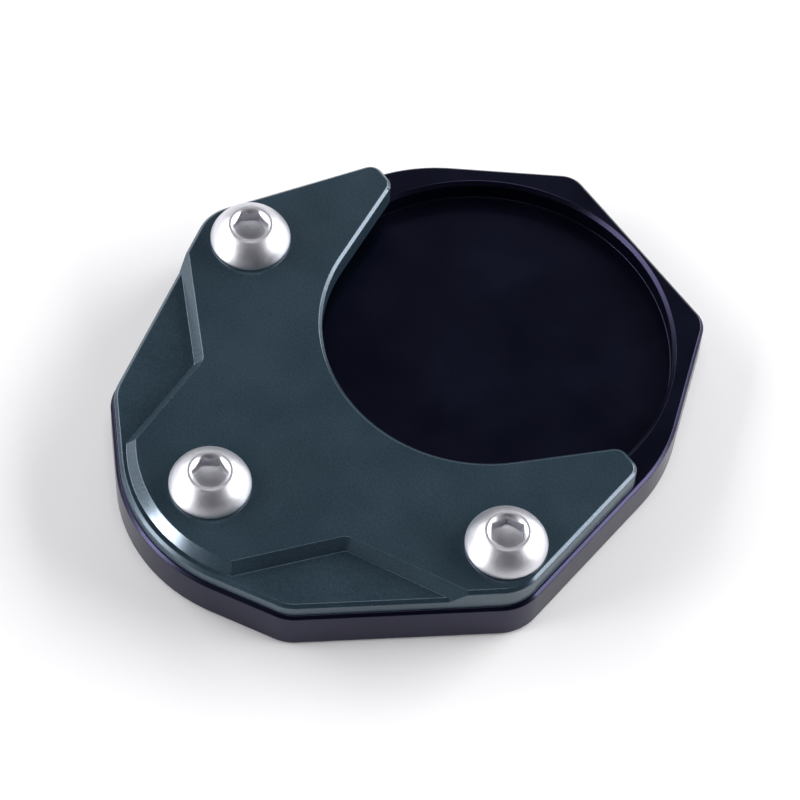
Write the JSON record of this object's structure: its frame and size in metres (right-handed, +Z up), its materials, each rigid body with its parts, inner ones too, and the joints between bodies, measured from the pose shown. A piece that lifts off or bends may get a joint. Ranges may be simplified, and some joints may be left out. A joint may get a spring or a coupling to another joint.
{
  "type": "kickstand foot enlarger",
  "caption": "Flat machined enlarger for a kickstand's foot: a base plate with a round foot pocket under a clamp plate with a flared mouth, held by button-head screws.",
  "frame": {"origin": "middle of the plates' length and width, on the base plate's underside", "axes": "+Z up out of the top face, +Y along the plate towards the nose with the foot pocket, +X across the plate"},
  "size_m": [0.0698, 0.079, 0.0134],
  "materials": {
    "base_plate": "black anodised, satin",
    "clamp_plate": "dark blue-grey anodised over fine bead blasting",
    "screws": "stainless steel, tumbled bright"
  },
  "bodies": {
    "root": {"base_plate": "base_plate", "clamp_plate": "clamp_plate", "screw_rear": "screws", "screw_left": "screws", "screw_right": "screws"}
  },
  "joints": []
}
